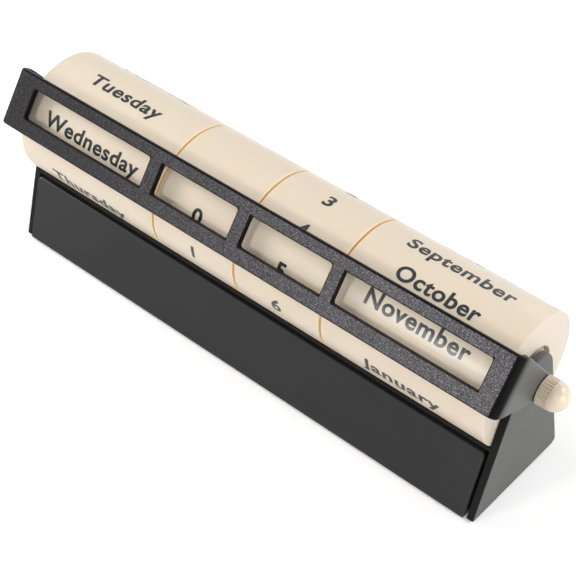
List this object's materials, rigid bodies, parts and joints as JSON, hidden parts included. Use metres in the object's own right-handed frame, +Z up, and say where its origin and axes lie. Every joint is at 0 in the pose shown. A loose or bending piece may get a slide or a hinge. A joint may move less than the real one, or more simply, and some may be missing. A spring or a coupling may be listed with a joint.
{
  "type": "desk calendar with drawer",
  "caption": "Perpetual desk calendar: printed drums on one axle behind a tilting window frame with domed clamping knobs, on a leaning stand with a slide-out drawer.",
  "frame": {"origin": "centre of the stand's footprint on the table", "axes": "+X along the axle towards the month drum, -Y the front, +Z up"},
  "size_m": [0.207, 0.0526, 0.0656],
  "materials": {
    "stand_coat": "fine textured powder coat",
    "frame_coat": "pebbled powder coat",
    "drawer_paint": "smooth satin paint",
    "pad_rubber": "matte non-slip sheet",
    "runner_paint": "satin paint",
    "tray_plastic": "matte moulded",
    "rod_steel": "turned steel",
    "washer_plastic": "matte nylon",
    "knob_plastic": "ivory, slightly glossy, fluted grip",
    "drum_plastic": "ivory, matte, with printed calendar marks"
  },
  "bodies": {
    "stand": {"base_shell": "stand_coat", "left_end_plate": "stand_coat", "right_end_plate": "stand_coat", "base_pad": "pad_rubber", "left_runner": "runner_paint", "right_runner": "runner_paint", "axle_rod": "rod_steel", "knob_washers": "washer_plastic"},
    "window": {"window_frame": "frame_coat"},
    "weekday_roller": {"weekday_drum": "drum_plastic", "weekday_drum_cap": "drum_plastic"},
    "tens_roller": {"tens_drum": "drum_plastic", "tens_drum_cap": "drum_plastic"},
    "units_roller": {"units_drum": "drum_plastic", "units_drum_cap": "drum_plastic"},
    "month_roller": {"month_drum": "drum_plastic", "month_drum_cap": "drum_plastic"},
    "left_clamp": {"left_knob": "knob_plastic"},
    "right_clamp": {"right_knob": "knob_plastic"},
    "drawer": {"drawer_front": "drawer_paint", "drawer_tray": "tray_plastic"}
  },
  "joints": [
    {"name": "weekday_turn", "type": "hinge", "parent": "stand", "child": "weekday_roller", "pos_m": [0, -0.0045, 0.04345], "axis": [1, 0, 0], "continuous": true},
    {"name": "tens_turn", "type": "hinge", "parent": "stand", "child": "tens_roller", "pos_m": [0, -0.0045, 0.04345], "axis": [1, 0, 0], "continuous": true},
    {"name": "units_turn", "type": "hinge", "parent": "stand", "child": "units_roller", "pos_m": [0, -0.0045, 0.04345], "axis": [1, 0, 0], "continuous": true},
    {"name": "month_turn", "type": "hinge", "parent": "stand", "child": "month_roller", "pos_m": [0, -0.0045, 0.04345], "axis": [1, 0, 0], "continuous": true},
    {"name": "window_tilt", "type": "hinge", "parent": "stand", "child": "window", "pos_m": [0, -0.0045, 0.04345], "axis": [1, 0, 0], "range_deg": [-168, 58]},
    {"name": "left_knob_turn", "type": "hinge", "parent": "stand", "child": "left_clamp", "pos_m": [-0.0953, -0.0045, 0.04345], "axis": [-1, 0, 0], "continuous": true},
    {"name": "right_knob_turn", "type": "hinge", "parent": "stand", "child": "right_clamp", "pos_m": [0.0953, -0.0045, 0.04345], "axis": [1, 0, 0], "continuous": true},
    {"name": "drawer_slide", "type": "slide", "parent": "stand", "child": "drawer", "axis": [0, -1, 0], "range_m": [0, 0.026]}
  ]
}
